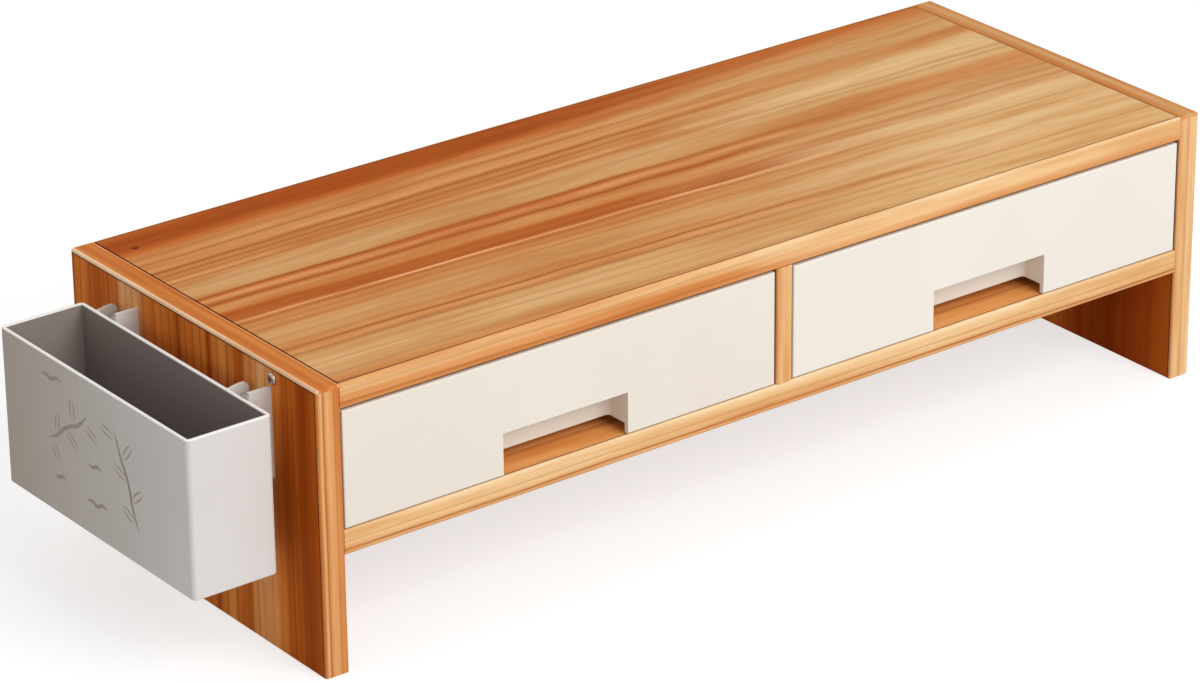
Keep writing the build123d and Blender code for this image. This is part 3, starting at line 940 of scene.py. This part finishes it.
for hook_front in HOOK_FRONTS:
    lug_rear = hook_front + LUG_SETBACK
    lug = start_block(
        "lug", (NOSE_OUTER, lug_rear - LUG_THICKNESS, LUG_ROOF), (NOSE_INNER, lug_rear, LUG_TOP)
    )
    for leftmost, reach in ((NOSE_OUTER, SLOT_OUTER), (SLOT_OUTER, ROOT)):
        choose("faces", lambda middle, direction: near(middle.x, leftmost) and direction.x < -ALONG)
        draw_out(reach - leftmost, 0, 0)
    choose("faces", lambda middle, direction: direction.z < -ALONG and middle.x > NOSE_OUTER)
    draw_out(0, 0, NOSE_FOOT - LUG_ROOF)
    choose("faces", lambda middle, direction: direction.z < -ALONG and middle.x < SLOT_OUTER)
    draw_out(0, 0, LEG_BEND - LUG_ROOF)
    draw_out(0, 0, LEG_FOOT - LEG_BEND)
    choose("edges", lambda middle, direction: near(middle.z, LEG_FOOT) and near(middle.x, SLOT_OUTER))
    bpy.ops.transform.translate(value=((BIN_RIGHT - FOOT_SINK - SLOT_OUTER) * MM, 0, 0))
    choose("edges", lambda middle, direction: near(middle.z, LUG_TOP) and near(middle.x, ROOT))
    bpy.ops.transform.translate(value=(0, 0, (FIN_START - LUG_TOP) * MM))
    choose("edges", lambda middle, direction: near(middle.z, LUG_TOP) and near(middle.x, SLOT_OUTER))
    bpy.ops.mesh.bevel(offset=FIN_RADIUS * MM, segments=4, affect="EDGES")
    choose("edges", lambda middle, direction: near(middle.z, LUG_TOP) and near(middle.x, NOSE_INNER))
    bpy.ops.mesh.bevel(offset=NOSE_RADIUS * MM, segments=6, affect="EDGES")
    finish_block()
    combine(storage_bin, lug, "UNION")
    rib_front = hook_front + RIB_SETBACK
    rib = start_block(
        "rib", (ROOT, rib_front, RIB_BEND), (SLOT_OUTER, rib_front + RIB_THICKNESS, RIB_TOP)
    )
    choose("faces", lambda middle, direction: direction.z < -ALONG)
    draw_out(0, 0, RIB_FOOT - RIB_BEND)
    choose("edges", lambda middle, direction: near(middle.z, RIB_FOOT) and near(middle.x, SLOT_OUTER))
    bpy.ops.transform.translate(value=((BIN_RIGHT - FOOT_SINK - SLOT_OUTER) * MM, 0, 0))
    finish_block()
    combine(storage_bin, rib, "UNION")

# A generic engraving in its left face: two leaf sprigs and a few short waves. Points are (y, z), and
# a leaf is where it starts and the direction in degrees that it grows in

GROOVE_RADIUS = 1.2
GROOVE_STANDS_OFF = 0.6
GROOVE_END = 0.5
LEAF_LENGTH, LEAF_SIDE, LEAF_BELLY = 15.0, 3.2, 0.45
STEMS = (
    ((58, 63), (64, 74), (66, 88), (74, 101), (77, 113)),
    ((137, 84), (126, 88), (117, 97), (104, 101), (97, 111)),
)
LEAVES = (
    (61, 69, 25), (65, 79, 140), (66.5, 88, 20), (71, 97, 130), (75.5, 105, 15),
    (131, 86, 235), (126, 88.5, 100), (118.5, 95.5, 215), (111, 99.5, 85), (102, 103, 205),
)
WAVES = (
    ((84, 66), (89, 69), (94, 65), (99, 68), (104, 65)),
    ((118, 68), (122, 71), (127, 67), (131, 70)),
    ((88, 84), (92, 87), (97, 83), (101, 86)),
    ((118, 116), (123, 119), (128, 115), (133, 118), (138, 115)),
)


def groove(points):
    """Cuts a round-bottomed groove that runs out at both ends, along points given as (y, z)."""
    curve = bpy.data.curves.new("groove", "CURVE")
    curve.dimensions = "3D"
    curve.bevel_depth = GROOVE_RADIUS * MM
    curve.bevel_resolution = 2
    curve.resolution_u = 5
    curve.use_fill_caps = True
    spline = curve.splines.new("NURBS")
    spline.points.add(len(points) - 1)
    for point, (y, z) in zip(spline.points, points):
        point.co = (*place(BIN_LEFT - GROOVE_STANDS_OFF, y, z), 1)
    spline.points[0].radius = spline.points[-1].radius = GROOVE_END / GROOVE_RADIUS
    spline.order_u = 3
    spline.use_endpoint_u = True
    cutter = bpy.data.objects.new("groove", curve)
    bpy.context.scene.collection.objects.link(cutter)
    pick(cutter)
    bpy.ops.object.convert(target="MESH")
    combine(storage_bin, bpy.context.object, "DIFFERENCE")


for line in STEMS + WAVES:
    groove(line)
for y, z, turn in LEAVES:
    foot = Vector((y, z))
    out = Vector((math.cos(math.radians(turn)), math.sin(math.radians(turn))))
    for side in (-1, 1):
        belly = foot + out * LEAF_LENGTH * LEAF_BELLY + Vector((-out.y, out.x)) * LEAF_SIDE * side
        groove((tuple(foot), tuple(belly), tuple(foot + out * LEAF_LENGTH)))

storage_bin.data.materials.clear()
storage_bin.data.materials.append(bin_finish)
smooth(storage_bin)
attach(storage_bin, "side_bin")
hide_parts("storage_bin")


# Pan-head screws with a domed head, a cross recess and a rolled thread. Shares are parts of the
# shank's diameter for the core, the tip and the thread, of the head's height for the dome and the
# recess's depth, and of the head's diameter for the recess's length and width

HEAD_SIDES = 32
CORE_SHARE = 0.36
TIP_SHARE = 0.2
THREAD_SHARE = 0.14
THREAD_STEPS = 14
DOME_SHARE = 0.7
RECESS_DEPTH_SHARE = 1.3
RECESS_LENGTH_SHARE, RECESS_WIDTH_SHARE = 0.5, 0.13


def model_screw(name, shank, length, head, height, pitch):
    """A screw on the Z axis, with its head below the origin and its tip up."""
    bpy.ops.object.select_all(action="DESELECT")
    bpy.ops.mesh.primitive_cylinder_add(
        vertices=HEAD_SIDES, radius=head / 2 * MM, depth=height * MM, location=(0, 0, -height / 2 * MM)
    )
    screw = bpy.context.object
    screw.name = name
    bpy.ops.object.transform_apply(location=True, rotation=True, scale=True)
    bpy.ops.object.mode_set(mode="EDIT")
    choose("edges", lambda middle, direction: near(middle.z, -height) and abs(direction.z) < ACROSS)
    bpy.ops.mesh.bevel(offset=height * DOME_SHARE * MM, segments=5, affect="EDGES")
    choose("faces", lambda middle, direction: direction.z > ALONG)
    bpy.ops.mesh.inset(thickness=(head / 2 - shank * CORE_SHARE) * MM)
    draw_out(0, 0, length - shank)
    draw_out(0, 0, shank)
    bpy.ops.transform.resize(value=(TIP_SHARE, TIP_SHARE, 1))
    finish_block()
    recess = (head * RECESS_LENGTH_SHARE * MM, head * RECESS_WIDTH_SHARE * MM)
    for width, depth in (recess, recess[::-1]):
        bpy.ops.object.select_all(action="DESELECT")
        bpy.ops.mesh.primitive_cube_add(
            size=1,
            location=(0, 0, -height * MM),
            scale=(width, depth, height * RECESS_DEPTH_SHARE * MM),
        )
        combine(screw, bpy.context.object, "DIFFERENCE")
    ridge = shank * THREAD_SHARE
    bpy.ops.object.select_all(action="DESELECT")
    bpy.ops.mesh.primitive_circle_add(
        vertices=3,
        radius=ridge * MM,
        location=((shank / 2 - ridge) * MM, 0, pitch * MM),
        rotation=(math.radians(90), math.radians(-90), 0),
    )
    thread = bpy.context.object
    bpy.ops.object.transform_apply(location=True, rotation=True, scale=True)
    turn = thread.modifiers.new("turn", "SCREW")
    turn.axis = "Z"
    turn.screw_offset = pitch * MM
    turn.iterations = int((length - shank - pitch) / pitch)
    turn.steps = turn.render_steps = THREAD_STEPS
    turn.use_normal_calculate = True
    bpy.ops.object.modifier_apply(modifier=turn.name)
    bpy.ops.object.mode_set(mode="EDIT")
    bpy.ops.mesh.select_all(action="SELECT")
    bpy.ops.mesh.fill_holes(sides=3)
    finish_block()
    combine(screw, thread, "UNION")
    return screw


def set_screws(name, node, model, places):
    """Copies a modelled screw to places given as (point, direction), as one piece for its node."""
    copies = []
    for point, direction in places:
        copy = bpy.data.objects.new(name, model.data.copy())
        bpy.context.scene.collection.objects.link(copy)
        copy.location = place(*point)
        copy.rotation_euler = Vector(direction).to_track_quat("Z", "Y").to_euler()
        copies.append(copy)
    bpy.ops.object.select_all(action="DESELECT")
    for copy in copies:
        copy.select_set(True)
    bpy.context.view_layer.objects.active = copies[0]
    bpy.ops.object.join()
    bpy.ops.object.transform_apply(location=True, rotation=True, scale=True)
    screws = bpy.context.object
    screws.data.materials.clear()
    screws.data.materials.append(nickel)
    smooth(screws)
    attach(screws, "carcass")
    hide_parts(node)


RIGHTWARDS, LEFTWARDS, UPWARDS = (1, 0, 0), (-1, 0, 0), (0, 0, 1)
JOINT_SETBACK = 34
DIVIDER_SETBACK = 50
TOP_MIDDLE = TOP_FOOT + BOARD / 2
SHELF_MIDDLE = SHELF_FOOT + BOARD / 2
HOOK_PLATE = 1.8
HOOK_SCREW_DEPTHS = (46.3, 153.8)
HOOK_SCREW_HEIGHT = 99.5

board_screw = model_screw("board_screw", shank=4.5, length=45.0, head=5.8, height=1.6, pitch=1.8)
divider_screw = model_screw(
    "divider_screw", shank=4.5, length=34.0, head=5.8, height=1.6, pitch=1.8
)
hook_screw = model_screw("hook_screw", shank=3.5, length=11.0, head=6.4, height=1.8, pitch=1.4)
set_screws(
    "pan_head_top_board_screws", "top_board_screws", board_screw,
    [
        ((0, JOINT_SETBACK, TOP_MIDDLE), RIGHTWARDS),
        ((STAND_WIDTH, JOINT_SETBACK, TOP_MIDDLE), LEFTWARDS),
    ],
)
set_screws(
    "pan_head_shelf_screws", "shelf_screws", board_screw,
    [
        ((0, STAND_DEPTH - JOINT_SETBACK, SHELF_MIDDLE), RIGHTWARDS),
        ((STAND_WIDTH, STAND_DEPTH - JOINT_SETBACK, SHELF_MIDDLE), LEFTWARDS),
    ],
)
set_screws(
    "pan_head_divider_screws", "divider_screws", divider_screw,
    [
        ((STAND_WIDTH / 2, DIVIDER_SETBACK, SHELF_FOOT), UPWARDS),
        ((STAND_WIDTH / 2, STAND_DEPTH - DIVIDER_SETBACK, SHELF_FOOT), UPWARDS),
    ],
)
set_screws(
    "pan_head_hook_screws", "bin_hook_screws", hook_screw,
    [((-HOOK_PLATE, depth, HOOK_SCREW_HEIGHT), RIGHTWARDS) for depth in HOOK_SCREW_DEPTHS],
)
for model in (board_screw, divider_screw, hook_screw):
    bpy.data.objects.remove(model)
